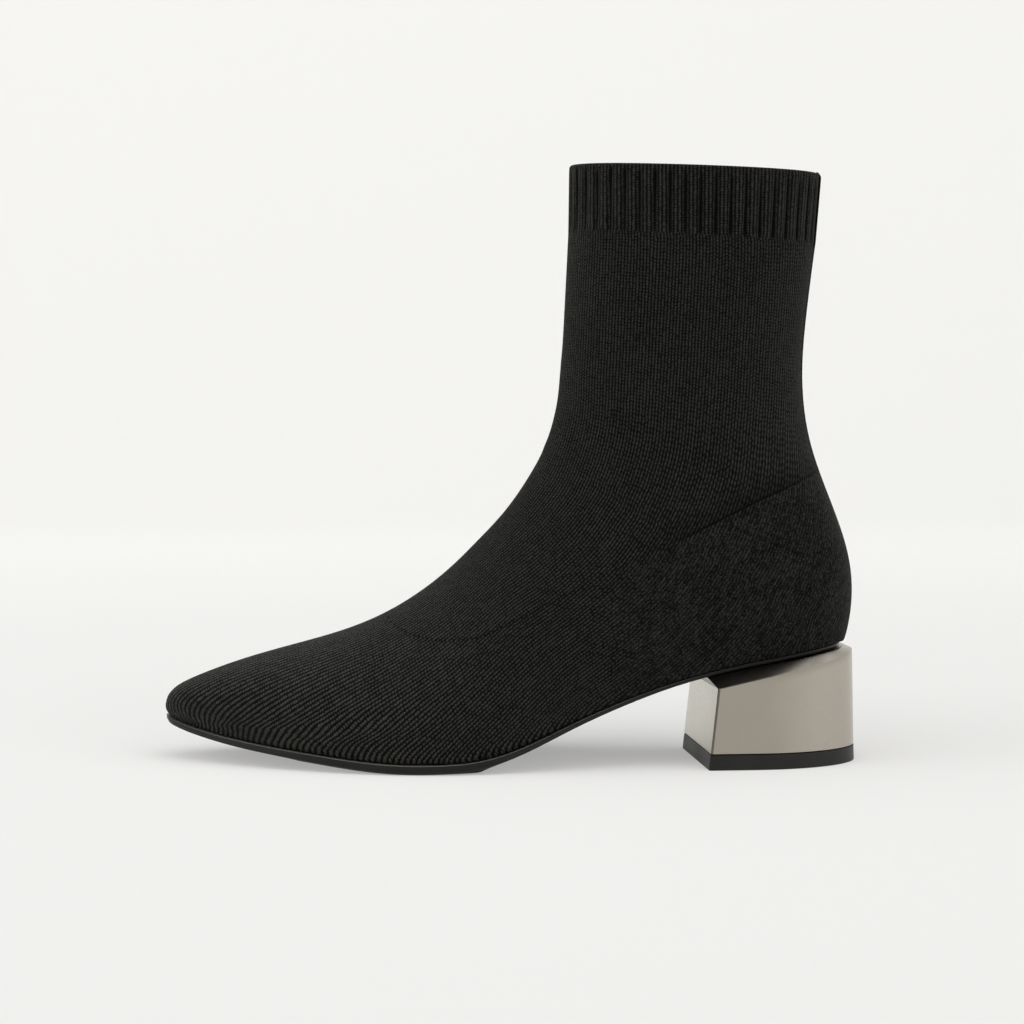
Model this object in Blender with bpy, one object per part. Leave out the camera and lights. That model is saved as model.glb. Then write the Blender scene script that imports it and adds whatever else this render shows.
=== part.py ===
# Sock boot for the left foot: a knitted upper with a ribbed cuff, an insole, an outsole, a block heel and its
# top piece.
# Frame: metres, +Z up, toe towards -X, back of the heel towards +X, outer side of the foot towards -Y.
# The origin is on the floor, under the middle of the boot's length.

import math

import bmesh
import bpy
from mathutils import Vector

# Last and upper
BOOT_LENGTH = 0.2665
BALL_WIDTH = 0.0800
INSTEP_HEIGHT = 0.0660
HEEL_HEIGHT = 0.0446
TOE_SPRING = 0.0134
SHAFT_HEIGHT = 0.1515
WALL = 0.0020
HEEL_ROUND = 0.0260
TIP_SHARE = 0.0012

# Ribbed cuff and back seam
CUFF_HEIGHT = 0.0270
CUFF_RUN_IN = 0.0012
CUFF_ROLL = 0.0022
CUFF_ROLL_DROP = 0.0009
RIBS_PER_SIDE = 21
RIB_DEPTH = 0.0011
RIB_GROOVE_SHARE = 0.19
SEAM_WIDTH = 0.0052
SEAM_EDGE = 0.0006
SEAM_RISE = 0.0007
SEAM_TAIL = 0.0010

# Sole and insole
SOLE_THICKNESS = 0.0032
SOLE_LIP = 0.0017
LIP_HEIGHT = 0.0011
LIP_STEP = 0.0005
LIP_MOST = 0.45
LIP_SLOPE = 0.15
EDGE_TUCK = 0.0010
EDGE_ROUND = 0.20
WAIST_LIP_LOSS = 0.6
SEAT_INSET = 0.0012
INSOLE_THICKNESS = 0.0040
INSOLE_EASE = 0.0008
INSOLE_TOE_EASE = 0.0022
LEANING_WALL = 1.15
FIT_GAP = 0.0003
SOLE_GAP = 0.0004

# Block heel and top piece
LIFT_HEIGHT = 0.0060
BLOCK_LENGTH = 0.0610
BLOCK_WIDTH = 0.0550
BLOCK_ROUND = 0.0425
BLOCK_TURN = 5.0
BLOCK_BACK_ASIDE = 0.0012
BREAST_SKEW = 0.030
SHOULDER_HEIGHT = 0.0312
SHOULDER_SLOPE = 0.222
SHOULDER_FLARE = 0.0025
SHOULDER_SETBACK = 0.0035
SHOULDER_BACK = 0.0012
SHOULDER_ROUND = 0.0370
SHOULDER_TURN = 4.2
SEAT_LENGTH = 0.0543
SEAT_SKEW = 0.125
BLOCK_FILLET = 0.0008

# Mesh fineness
SIDE_STEPS = 30
RIB_POINTS = 4
FINE_STEPS = 24
BLOCK_BACK_STEPS = 14
PLACE_STEP = 0.02
FEATHER_STEPS_OUT = 7
HEEL_STEPS_OUT = {17.5: 6, 18: 5, 18.5: 3}
SAME_PLACE = 1e-6
SHARP_ANGLE = 38.0

# Curve shapes: handle length of a quarter circle, steepest start of a closed section, and the most of its
# width that a side may gain at once.
HANDLE = 0.5523
OPEN_SLOPE = 60.0
MOST_OUT = 0.8

# Sections of the foot, toe to heel. Each one is cut by a plane from a point on the feather line up to the top
# line of the boot, and the planes fan out from the toe round to the collar.
# along, top_along: shares of the boot's length from the toe.
# seat, spring: height of the sole's underside, as shares of the heel height and the toe spring.
# rise: top point above the feather line, share of the instep height.
# outer, inner: feather line to each side, and outer_wide, inner_wide: widest points, as shares of ball width.
# level: height of the widest point, share of the section.
# lean: how fast the wall leans out at the feather line.
# low, high: fullness of the curve below and above the widest point.
# ridge: shift of the top line towards the inner side, share of the ball width.
# sole: share of the sole's thickness.
FOOT_COLUMNS = (
    "along", "top_along", "seat", "spring", "rise", "outer", "inner",
    "outer_wide", "inner_wide", "level", "lean", "low", "high", "ridge", "sole",
)
FOOT_SECTIONS = (
    (0.006, 0.006, 0.000, 1.00, 0.001, -0.050, 0.051, -0.050, 0.051, 0.50, 0.30, 0.06, 0.20, 0.050, 0.72),
    (0.010, -0.001, 0.000, 0.97, 0.060, 0.004, 0.104, 0.014, 0.113, 0.46, 0.30, 0.06, 0.20, 0.050, 0.72),
    (0.024, 0.003, 0.000, 0.89, 0.146, 0.060, 0.155, 0.076, 0.171, 0.42, 0.32, 0.06, 0.18, 0.050, 0.72),
    (0.050, 0.024, 0.000, 0.76, 0.245, 0.128, 0.212, 0.149, 0.234, 0.37, 0.34, 0.06, 0.14, 0.050, 0.74),
    (0.090, 0.070, 0.000, 0.60, 0.353, 0.219, 0.270, 0.243, 0.296, 0.33, 0.35, 0.06, 0.10, 0.052, 0.78),
    (0.143, 0.128, 0.000, 0.44, 0.462, 0.312, 0.332, 0.339, 0.360, 0.29, 0.35, 0.06, 0.06, 0.056, 0.84),
    (0.203, 0.192, 0.000, 0.29, 0.558, 0.394, 0.388, 0.421, 0.417, 0.27, 0.34, 0.06, 0.02, 0.060, 0.91),
    (0.267, 0.254, 0.000, 0.13, 0.656, 0.465, 0.437, 0.492, 0.468, 0.25, 0.32, 0.06, -0.04, 0.064, 0.97),
    (0.331, 0.309, 0.000, 0.00, 0.768, 0.510, 0.470, 0.533, 0.503, 0.24, 0.30, 0.06, -0.09, 0.068, 1.00),
    (0.395, 0.354, 0.000, 0.00, 0.872, 0.520, 0.472, 0.545, 0.507, 0.24, 0.30, 0.06, -0.13, 0.070, 1.00),
    (0.459, 0.392, 0.020, 0.00, 0.973, 0.508, 0.444, 0.540, 0.490, 0.24, 0.36, 0.06, -0.15, 0.068, 0.94),
    (0.523, 0.424, 0.155, 0.00, 1.005, 0.475, 0.391, 0.526, 0.455, 0.25, 0.44, 0.06, -0.15, 0.062, 0.76),
    (0.590, 0.452, 0.366, 0.00, 0.989, 0.425, 0.344, 0.495, 0.420, 0.26, 0.48, 0.07, -0.14, 0.054, 0.60),
    (0.662, 0.477, 0.548, 0.00, 0.975, 0.381, 0.316, 0.458, 0.392, 0.28, 0.46, 0.08, -0.12, 0.044, 0.50),
    (0.733, 0.498, 0.702, 0.00, 0.976, 0.350, 0.312, 0.426, 0.379, 0.30, 0.40, 0.09, -0.10, 0.034, 0.44),
    (0.805, 0.515, 0.814, 0.00, 1.002, 0.337, 0.325, 0.405, 0.376, 0.33, 0.36, 0.10, -0.08, 0.026, 0.40),
    (0.868, 0.528, 0.890, 0.00, 1.037, 0.331, 0.328, 0.394, 0.376, 0.36, 0.34, 0.11, -0.06, 0.020, 0.40),
    (0.921, 0.538, 0.948, 0.00, 1.070, 0.330, 0.330, 0.390, 0.376, 0.38, 0.32, 0.12, -0.04, 0.016, 0.40),
    (0.961, 0.546, 0.987, 0.00, 1.109, 0.328, 0.328, 0.388, 0.375, 0.40, 0.30, 0.12, -0.02, 0.012, 0.40),
    (0.985, 0.552, 1.000, 0.00, 1.158, 0.325, 0.325, 0.386, 0.374, 0.41, 0.25, 0.33, 0.00, 0.010, 0.40),
)

# Sections of the leg, heel to collar, with their low point on the back seam.
# leg, cuff: height above the seat, shares of the shaft's and the cuff's height. The others are as above.
LEG_COLUMNS = (
    "along", "top_along", "leg", "cuff", "rise", "outer_wide", "inner_wide", "level", "low", "high", "ridge",
)
LEG_SECTIONS = (
    (0.992, 0.558, 0.052, 0.0, 1.105, 0.385, 0.374, 0.42, 0.28, 0.01, 0.007),
    (0.996, 0.562, 0.118, 0.0, 1.015, 0.382, 0.373, 0.43, 0.23, 0.02, 0.005),
    (0.993, 0.566, 0.198, 0.0, 0.897, 0.378, 0.371, 0.44, 0.18, 0.03, 0.003),
    (0.978, 0.569, 0.290, 0.0, 0.755, 0.374, 0.369, 0.45, 0.14, 0.04, 0.002),
    (0.953, 0.571, 0.392, 0.0, 0.603, 0.369, 0.366, 0.46, 0.08, 0.04, 0.000),
    (0.930, 0.573, 0.495, 0.0, 0.467, 0.363, 0.363, 0.47, 0.08, 0.05, 0.000),
    (0.919, 0.576, 0.607, 0.0, 0.333, 0.357, 0.357, 0.48, 0.08, 0.06, 0.000),
    (0.918, 0.578, 0.726, 0.0, 0.220, 0.354, 0.354, 0.49, 0.08, 0.07, 0.000),
    (0.927, 0.581, 0.872, 0.0, 0.121, 0.354, 0.354, 0.50, 0.08, 0.08, 0.000),
    (0.936, 0.584, 1.000, 0.0, 0.076, 0.357, 0.357, 0.50, 0.08, 0.08, 0.000),
    (0.944, 0.585, 1.000, 1.0, 0.050, 0.362, 0.362, 0.50, 0.08, 0.08, 0.000),
)
HEEL_ROW = len(FOOT_SECTIONS) - 1
CUFF_ROW = HEEL_ROW + len(LEG_SECTIONS) - 1
COLLAR_ROW = CUFF_ROW + 1
EXTRA_RINGS = (0.5, 1.5, 2.5, 17.5, 18.5)
SEAM_END_ROW = 23
INSOLE_START = 3
BALL_ROW = 9
WAIST_ROW = 13
SEAT_ROW = 15

MATERIALS = {
    "upper": ((0.016, 0.016, 0.017), 0.92, 0.0),
    "insole": ((0.030, 0.029, 0.028), 0.80, 0.0),
    "outsole": ((0.014, 0.014, 0.014), 0.55, 0.0),
    "heel_block": ((0.34, 0.31, 0.28), 0.34, 1.0),
    "top_piece": ((0.012, 0.012, 0.012), 0.60, 0.0),
}


def clear_scene():
    for item in list(bpy.data.objects):
        bpy.data.objects.remove(item, do_unlink=True)


def table_column(name):
    # One column down both tables; what only one table has is held at its end value in the other.
    held = {"seat": 1.0, "spring": 0.0, "outer": 0.0, "inner": 0.0, "lean": 0.0, "leg": 0.0, "cuff": 0.0}
    held["sole"] = FOOT_SECTIONS[-1][FOOT_COLUMNS.index("sole")]
    values = []
    for columns, rows in ((FOOT_COLUMNS, FOOT_SECTIONS), (LEG_COLUMNS, LEG_SECTIONS)):
        if name in columns:
            values += [row[columns.index(name)] for row in rows]
        else:
            values += [held[name]] * len(rows)
    return values


def slopes_of(values):
    # Slopes that let a curve pass each value without swinging past it.
    steps = [b - a for a, b in zip(values, values[1:])]
    slopes = [steps[0]]
    for before, after in zip(steps, steps[1:]):
        if before * after <= 0.0:
            slopes.append(0.0)
        else:
            slopes.append(2.0 * before * after / (before + after))
    return slopes + [steps[-1]]


ALL_COLUMNS = tuple(dict.fromkeys(FOOT_COLUMNS + LEG_COLUMNS))
COLUMN_VALUES = {name: table_column(name) for name in ALL_COLUMNS}
COLUMN_SLOPES = {name: slopes_of(values) for name, values in COLUMN_VALUES.items()}


def read_column(name, place):
    values, slopes = COLUMN_VALUES[name], COLUMN_SLOPES[name]
    row = min(int(place), len(values) - 2)
    t = place - row
    start, end = values[row], values[row + 1]
    bend = (1.0 - t) * slopes[row] - t * slopes[row + 1] + (2.0 * t - 1.0) * (end - start)
    return start + t * (end - start) + t * (1.0 - t) * bend


def along_to_x(along):
    return (along - 0.5) * BOOT_LENGTH


def heel_rounding(x):
    # 1 along the foot, falling to 0 at the back end of the feather line as a quarter circle does.
    end = along_to_x(FOOT_SECTIONS[-1][0])
    t = min(1.0, max(0.0, (x - end + HEEL_ROUND) / HEEL_ROUND))
    return math.sqrt(max(0.0, 1.0 - t * t))


def sole_bottom(place):
    return read_column("seat", place) * HEEL_HEIGHT + read_column("spring", place) * TOE_SPRING


def sole_depth(place):
    return read_column("sole", place) * SOLE_THICKNESS


def feather_half(place, side):
    # Half the width of the open underside, on one side.
    return read_column(side, place) * BALL_WIDTH * heel_rounding(along_to_x(read_column("along", place)))


def outward_slope(place, side, forward):
    # How fast the wall moves out at the feather line, per unit of height, in a section tilted forward.
    near, far = max(0.0, place - PLACE_STEP), place + PLACE_STEP
    run = along_to_x(read_column("along", far)) - along_to_x(read_column("along", near))
    widening = (feather_half(far, side) - feather_half(near, side)) / run
    return widening * -forward


def section_at(place):
    # The named lengths of one section, all in metres.
    row = {name: read_column(name, place) for name in ALL_COLUMNS}
    x = along_to_x(row["along"])
    z = sole_bottom(place) + sole_depth(place) + SOLE_GAP
    z += row["leg"] * SHAFT_HEIGHT + row["cuff"] * CUFF_HEIGHT
    low_point = Vector((x, 0.0, z))
    high_point = Vector((along_to_x(row["top_along"]), 0.0, z + row["rise"] * INSTEP_HEIGHT))
    up = (high_point - low_point).normalized()
    starts = {}
    for side, way in (("outer", -1.0), ("inner", 1.0)):
        slope = OPEN_SLOPE
        if place < HEEL_ROW:
            slope = min(OPEN_SLOPE, row["lean"] * up.z + outward_slope(place, side, -up.x))
        starts[side] = (up + Vector((0.0, way * slope, 0.0))).normalized()
    return {
        "low_point": low_point,
        "high_point": high_point,
        "starts": starts,
        "outer": -feather_half(place, "outer"),
        "inner": feather_half(place, "inner"),
        "outer_wide": -row["outer_wide"] * BALL_WIDTH,
        "inner_wide": row["inner_wide"] * BALL_WIDTH,
        "level": row["level"],
        "low": row["low"],
        "high": row["high"],
        "ridge": row["ridge"] * BALL_WIDTH,
    }


def full_curve(angle, fullness):
    # A quarter turn from (1, 0) to (0, 1): an ellipse at fullness 0, squarer above it and pinched below it.
    c, s = math.cos(angle), math.sin(angle)
    return c * (1.0 + fullness * s * s), s * (1.0 + fullness * c * c)


def bezier(handles, t):
    a, b, c, d = handles
    return a * (1 - t) ** 3 + b * (3 * t * (1 - t) ** 2) + c * (3 * t * t * (1 - t)) + d * t ** 3


def side_curve(section, side):
    # Fine points up one side, from the feather line or back seam to the top line.
    low, high = section["low_point"], section["high_point"]
    up = high - low
    foot, wide = section[side], section[side + "_wide"]
    level, ridge = section["level"], section["ridge"]
    start = low + Vector((0.0, foot, 0.0))
    widest = low + up * level + Vector((0.0, wide, 0.0))
    direction = section["starts"][side]
    full = HANDLE * (1.0 + section["low"])
    reach = abs(direction.dot(widest - start)) * full
    if abs(direction.y) * reach > MOST_OUT * abs(wide - foot):
        reach = MOST_OUT * abs(wide - foot) / abs(direction.y)
    handles = (start, start + direction * reach, widest - up * (level * full), widest)
    points = [bezier(handles, step / FINE_STEPS) for step in range(FINE_STEPS)]
    for step in range(2 * FINE_STEPS + 1):
        across, rise = full_curve(math.pi / 2 * step / (2 * FINE_STEPS), section["high"])
        points.append(
            low + up * (level + (1.0 - level) * rise) + Vector((0.0, ridge + (wide - ridge) * across, 0.0))
        )
    return points


def spread(points, distances):
    # Points at the given distances along a fine line.
    found = []
    travelled = 0.0
    index = 0
    span = (points[1] - points[0]).length
    for distance in distances:
        while distance > travelled + span and index < len(points) - 2:
            travelled += span
            index += 1
            span = (points[index + 1] - points[index]).length
        share = 0.0 if span == 0.0 else min(1.0, (distance - travelled) / span)
        found.append(points[index].lerp(points[index + 1], share))
    return found


def line_length(points):
    return sum((b - a).length for a, b in zip(points, points[1:]))


def strip_stops(length):
    # Two short steps for the seam strip, then even steps to the top line.
    first = SEAM_WIDTH / 2
    second = first + SEAM_EDGE
    rest = SIDE_STEPS - 2
    return [0.0, first] + [second + (length - second) * k / rest for k in range(rest + 1)]


def steps_left_out(place):
    # Rings that end on the feather line are shorter and have fewer steps, so that they line up at the heel.
    if place >= HEEL_ROW:
        return 0
    return HEEL_STEPS_OUT.get(place, FEATHER_STEPS_OUT)


def base_stops(place, length):
    # Even steps on the foot, turning into the seam strip's steps up the leg.
    left_out = steps_left_out(place)
    steps = SIDE_STEPS - left_out
    even = [0.0] * left_out + [length * k / steps for k in range(steps + 1)]
    fade = min(1.0, max(0.0, (place - HEEL_ROW) / (SEAM_END_ROW - HEEL_ROW)))
    return [a + (b - a) * fade for a, b in zip(even, strip_stops(length))]


def rib_stops(place, length):
    # The strip's stops with two more in each step, then one groove and three rib points for each rib.
    stops = strip_stops(length)
    fine = []
    for start, end in zip(stops[:2], stops[1:3]):
        fine += [start + (end - start) * k / 3 for k in range(3)]
    pitch = (length - stops[2]) / RIBS_PER_SIDE
    for rib in range(RIBS_PER_SIDE):
        groove = stops[2] + rib * pitch
        shares = (0.0, RIB_GROOVE_SHARE, 0.5, 1.0 - RIB_GROOVE_SHARE)
        fine += [groove + pitch * share for share in shares]
    return fine + [length]


def full_ring(place, stops_of):
    # From the low point up the outer side, over the top line and down the inner side.
    section = section_at(place)
    outer = side_curve(section, "outer")
    inner = side_curve(section, "inner")
    outer = spread(outer, stops_of(place, line_length(outer)))
    inner = spread(inner, stops_of(place, line_length(inner)))
    return outer + inner[-2::-1]


def ring_places():
    places = sorted(set(range(CUFF_ROW + 1)) | set(EXTRA_RINGS))
    places[0] = TIP_SHARE
    return places


def ring_normals(rings):
    # Outward directions of the unrelieved wall, from the neighbours of each point.
    normals = []
    for i, ring in enumerate(rings):
        before = rings[max(i - 1, 0)]
        after = rings[min(i + 1, len(rings) - 1)]
        closed = (ring[0] - ring[-1]).length < SAME_PLACE
        first = 0
        while first < len(ring) // 2 - 1 and (ring[first + 1] - ring[0]).length < SAME_PLACE:
            first += 1
        last = len(ring) - 1 - first
        row = []
        for j in range(len(ring)):
            k = min(max(j, first), last)
            left = ring[k - 1] if k > first else (ring[-2] if closed else ring[k])
            right = ring[k + 1] if k < last else (ring[1] if closed else ring[k])
            row.append((after[k] - before[k]).cross(right - left).normalized())
        if closed:
            row[0] = row[-1] = (row[0] + row[-1]).normalized()
        normals.append(row)
    return normals


def seam_relief(place, j):
    # Height of the strip up the centre of the back, fading out above the heel.
    if j not in (0, 1, 2 * SIDE_STEPS - 1, 2 * SIDE_STEPS):
        return 0.0
    fade = min(1.0, max(0.0, (place - SEAM_END_ROW) / 2.0))
    return SEAM_RISE * fade


def rib_relief(index):
    strip_points = 3
    side = min(index, rib_ring_size() - index)
    if side <= strip_points:
        return SEAM_RISE
    if side < 2 * strip_points:
        return 0.0
    return -RIB_DEPTH if (side - 2 * strip_points) % RIB_POINTS == 0 else 0.0


def rib_ring_size():
    return 2 * (2 * 3 + RIBS_PER_SIDE * RIB_POINTS)


class Shell:
    # Collects vertices and faces, and makes one object of them.

    def __init__(self):
        self.mesh = bmesh.new()

    def add(self, points):
        return [self.mesh.verts.new(point) for point in points]

    def face(self, *corners):
        kept = []
        for corner in corners:
            if corner not in kept:
                kept.append(corner)
        if len(kept) > 2:
            self.mesh.faces.new(kept)

    def band(self, first, second):
        for j in range(len(first) - 1):
            self.face(first[j], first[j + 1], second[j + 1], second[j])

    def fan_band(self, coarse, fine, ratio, coarse_first):
        # Joins a ring to one with a whole number of times its steps.
        for j in range(len(coarse) - 1):
            middle = j * ratio + ratio // 2
            corners = [(coarse[j], fine[k], fine[k + 1]) for k in range(j * ratio, middle)]
            corners.append((coarse[j], fine[middle], fine[middle + 1], coarse[j + 1]))
            corners += [(coarse[j + 1], fine[k], fine[k + 1]) for k in range(middle + 1, (j + 1) * ratio)]
            for corner in corners:
                self.face(*(reversed(corner) if coarse_first else corner))

    def finish(self, name):
        bmesh.ops.triangulate(self.mesh, faces=[f for f in self.mesh.faces if len(f.verts) > 4])
        bmesh.ops.recalc_face_normals(self.mesh, faces=self.mesh.faces[:])
        data = bpy.data.meshes.new(name)
        self.mesh.to_mesh(data)
        self.mesh.free()
        data.shade_smooth()
        data.set_sharp_from_angle(angle=math.radians(SHARP_ANGLE))
        thing = bpy.data.objects.new(name, data)
        bpy.context.scene.collection.objects.link(thing)
        data.materials.append(make_material(name))
        return thing


def make_material(name):
    colour, roughness, metallic = MATERIALS[name]
    material = bpy.data.materials.new(name)
    material.use_nodes = True
    shader = material.node_tree.nodes["Principled BSDF"]
    shader.inputs["Base Color"].default_value = (*colour, 1.0)
    shader.inputs["Roughness"].default_value = roughness
    shader.inputs["Metallic"].default_value = metallic
    return material


def pushed(points, directions, distance):
    return [p + d * distance for p, d in zip(points, directions)]


def wall_rings():
    # The upper's unrelieved rings up to the foot of the cuff, with their outward directions.
    places = ring_places()
    rings = [full_ring(place, base_stops) for place in places]
    tip = sum(rings[0], Vector()) / len(rings[0])
    rings[0] = [tip.copy() for _ in rings[0]]
    normals = ring_normals(rings)
    nose = sum(normals[1], Vector()).normalized()
    normals[0] = [nose.copy() for _ in rings[0]]
    return places, rings, normals


def ring_vertices(shell, points):
    # A vertex for each point of a ring; points at the same place share theirs.
    vertices = []
    for point in points:
        if vertices and (point - vertices[-1].co).length < SAME_PLACE:
            vertices.append(vertices[-1])
        elif vertices and (point - vertices[0].co).length < SAME_PLACE:
            vertices.append(vertices[0])
        else:
            vertices.append(shell.mesh.verts.new(point))
    return vertices


def cuff_levels():
    # Places of the cuff's rings, between the foot of the cuff and the collar.
    return (
        CUFF_ROW + CUFF_RUN_IN / CUFF_HEIGHT,
        COLLAR_ROW - CUFF_ROLL / CUFF_HEIGHT,
        COLLAR_ROW - CUFF_ROLL_DROP / CUFF_HEIGHT,
    )


def build_upper():
    shell = Shell()
    places, rings, normals = wall_rings()
    outside, inside = [], []
    for place, ring, normal in zip(places, rings, normals):
        relieved = [p + d * seam_relief(place, j) for j, (p, d) in enumerate(zip(ring, normal))]
        outside.append(ring_vertices(shell, relieved))
        inside.append(ring_vertices(shell, pushed(ring, normal, -WALL)))
    for first, second in zip(outside, outside[1:]):
        shell.band(first, second)
    for first, second in zip(inside, inside[1:]):
        shell.band(second, first)
    feather_rim(shell, outside, inside)
    cuff(shell, outside[-1], inside[-1], normals[-1])
    return shell.finish("upper")


def feather_rim(shell, outside, inside):
    # The lower edge of the wall, round the open underside.
    last = ring_places().index(HEEL_ROW)
    for end in (0, -1):
        for i in range(last):
            shell.face(outside[i][end], outside[i + 1][end], inside[i + 1][end], inside[i][end])


def cuff(shell, outer_foot, inner_foot, normal):
    low, high, roll = cuff_levels()
    fine_rings = []
    for place in (low, high):
        ring = full_ring(place, rib_stops)
        directions = ring_normals([ring, full_ring(place + PLACE_STEP, rib_stops)])[0]
        points = [p + d * rib_relief(k) for k, (p, d) in enumerate(zip(ring, directions))]
        fine_rings.append(ring_vertices(shell, points))
    rolled = full_ring(roll, base_stops)
    rolled_outside = [p + d * seam_relief(roll, j) for j, (p, d) in enumerate(zip(rolled, normal))]
    collar = pushed(full_ring(COLLAR_ROW, base_stops), normal, -WALL / 2)
    for j in (0, 1, -2, -1):
        collar[j] = collar[j] + Vector((0.0, 0.0, SEAM_TAIL))
    rolled_outside = ring_vertices(shell, rolled_outside)
    collar = ring_vertices(shell, collar)
    rolled_inside = ring_vertices(shell, pushed(rolled, normal, -WALL))
    high_inside = ring_vertices(shell, pushed(full_ring(high, base_stops), normal, -WALL))
    shell.fan_band(outer_foot, fine_rings[0], 3, False)
    shell.band(fine_rings[0], fine_rings[1])
    shell.fan_band(rolled_outside, fine_rings[1], 3, True)
    shell.band(rolled_outside, collar)
    shell.band(collar, rolled_inside)
    shell.band(rolled_inside, high_inside)
    shell.band(high_inside, inner_foot)


def feather_line():
    # Both sides of the upper's open underside, toe to heel, with the place of each pair in the tables.
    places = [place for place in ring_places() if place <= HEEL_ROW]
    outer, inner = [], []
    for place in places:
        section = section_at(place)
        low = section["low_point"]
        outer.append(low + Vector((0.0, section["outer"], 0.0)))
        inner.append(low + Vector((0.0, section["inner"], 0.0)))
    outer[0] = inner[0] = (outer[0] + inner[0]) / 2
    return places, outer, inner


def line_height(line, x):
    # Height at x of a side view's line of points, carried on straight past its ends.
    for a, b in zip(line, line[1:]):
        if x <= b.x:
            break
    return a.z + (b.z - a.z) * (x - a.x) / (b.x - a.x)


def neighbour(loop, k, way):
    # The next point of a closed loop that isn't at the same place.
    step = way
    while (loop[(k + step) % len(loop)] - loop[k]).length < SAME_PLACE:
        step += way
    return loop[(k + step) % len(loop)]


def moved_out(outer, inner, distances, heights):
    # Moves each pair outwards in plan, square to the line through its neighbours, and puts it at its height
    # above the feather line.
    feather = feather_line()[1]
    loop = outer + inner[::-1]
    reach = list(distances) + list(distances)[::-1]
    rise = list(heights) + list(heights)[::-1]
    moved = []
    for k, point in enumerate(loop):
        run = neighbour(loop, k, 1) - neighbour(loop, k, -1)
        aside = Vector((-run.y, run.x, 0.0)).normalized() * -reach[k]
        x, y = (point + aside).xy
        moved.append(Vector((x, y, line_height(feather, x) + rise[k])))
    half = len(outer)
    return moved[:half], moved[:half - 1:-1]


def lofted_strip(name, levels):
    # A closed body from outlines given as (outer, inner) lines of the same length, bottom one first.
    shell = Shell()
    outlines = []
    for outer, inner in levels:
        outer_line, inner_line = shell.add(outer), shell.add(inner)
        for end in (0, -1):
            if (outer[end] - inner[end]).length < SAME_PLACE:
                shell.mesh.verts.remove(inner_line[end])
                inner_line[end] = outer_line[end]
        outlines.append((outer_line, inner_line))
    for (outer, inner), (next_outer, next_inner) in zip(outlines, outlines[1:]):
        shell.band(outer, next_outer)
        shell.band(next_inner, inner)
        for end in (0, -1):
            shell.face(outer[end], inner[end], next_inner[end], next_outer[end])
    shell.band(outlines[0][0], outlines[0][1])
    shell.band(outlines[-1][0], outlines[-1][1])
    return shell.finish(name)


def inside_edge(rings, normals, index, end, height):
    # Where the upper's inner face is at the given height above the feather line, on one side of one ring.
    points = pushed(rings[index], normals[index], -WALL)
    points = points if end == 0 else points[::-1]
    feather = feather_line()[1]
    for a, b in zip(points, points[1:]):
        a_rise, b_rise = a.z - line_height(feather, a.x), b.z - line_height(feather, b.x)
        if b_rise >= height:
            return a.lerp(b, min(1.0, max(0.0, (height - a_rise) / (b_rise - a_rise))))
    return points[-1]


def build_insole():
    # A board that fits between the upper's walls and closes its underside from within.
    places, rings, normals = wall_rings()
    last = places.index(HEEL_ROW)
    used = range(places.index(INSOLE_START), last)
    outer = [rings[i][0] for i in used]
    inner = [rings[i][-1] for i in used]
    count = len(outer)
    top_outer = [inside_edge(rings, normals, i, 0, INSOLE_THICKNESS) for i in used]
    top_inner = [inside_edge(rings, normals, i, -1, INSOLE_THICKNESS) for i in used]
    foot_inset = [-WALL * LEANING_WALL - ease for ease in [INSOLE_TOE_EASE / 2] + [FIT_GAP] * (count - 1)]
    top_inset = [-INSOLE_TOE_EASE] + [-INSOLE_EASE] * (count - 1)
    levels = [
        moved_out(outer, inner, foot_inset, [0.0] * count),
        moved_out(top_outer, top_inner, top_inset, [INSOLE_THICKNESS] * count),
    ]
    return lofted_strip("insole", levels)


def share_between(place, start, end):
    return min(1.0, max(0.0, (place - start) / (end - start)))


def lip_reach(place):
    # How far the sole stands out past the feather line: a lip round the forefoot, drawn in under the heel.
    waist = share_between(place, BALL_ROW, WAIST_ROW)
    seat = share_between(place, WAIST_ROW, SEAT_ROW)
    return SOLE_LIP * (1.0 - WAIST_LIP_LOSS * waist) * (1.0 - seat) - SEAT_INSET * seat


def sole_profile(place):
    # The sole's edge from the bottom up: how far each step reaches past the lip, and how far down it lies.
    depth = sole_depth(place)
    lip = min(LIP_HEIGHT, LIP_MOST * depth)
    return (
        (-LIP_STEP - EDGE_TUCK, depth),
        (-LIP_STEP, depth - EDGE_ROUND * depth),
        (-LIP_STEP, lip + LIP_SLOPE * lip),
        (0.0, lip),
        (0.0, 0.0),
    )


def build_outsole():
    places, outer, inner = feather_line()
    profiles = [sole_profile(place) for place in places]
    levels = []
    for number in range(len(profiles[0])):
        reach = [lip_reach(place) + profile[number][0] for place, profile in zip(places, profiles)]
        heights = [-SOLE_GAP - profile[number][1] for profile in profiles]
        levels.append(moved_out(outer, inner, reach, heights))
    return lofted_strip("outsole", levels)


def sole_underside():
    # The sole's underside in side view.
    places, outer, _ = feather_line()
    return [Vector((p.x, 0.0, p.z - SOLE_GAP - sole_depth(place))) for place, p in zip(places, outer)]


def block_outline(front, back, half_width, round_length, skew):
    # Half the outline each: from the breast along the outer side to the back, and the same on the inner side.
    turn = back - round_length
    halves = []
    for side, breast in ((-1.0, front), (1.0, front - 2 * half_width * skew)):
        points = [(breast, side * (half_width - BLOCK_FILLET)), (breast + BLOCK_FILLET, side * half_width)]
        straight = turn - breast - BLOCK_FILLET
        points += [(turn - straight * (1 - k / 4), side * half_width) for k in range(1, 4)]
        for k in range(BLOCK_BACK_STEPS + 1):
            angle = math.pi / 2 * k / BLOCK_BACK_STEPS
            points.append((turn + round_length * math.sin(angle), side * half_width * math.cos(angle)))
        halves.append(points)
    return halves


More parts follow.
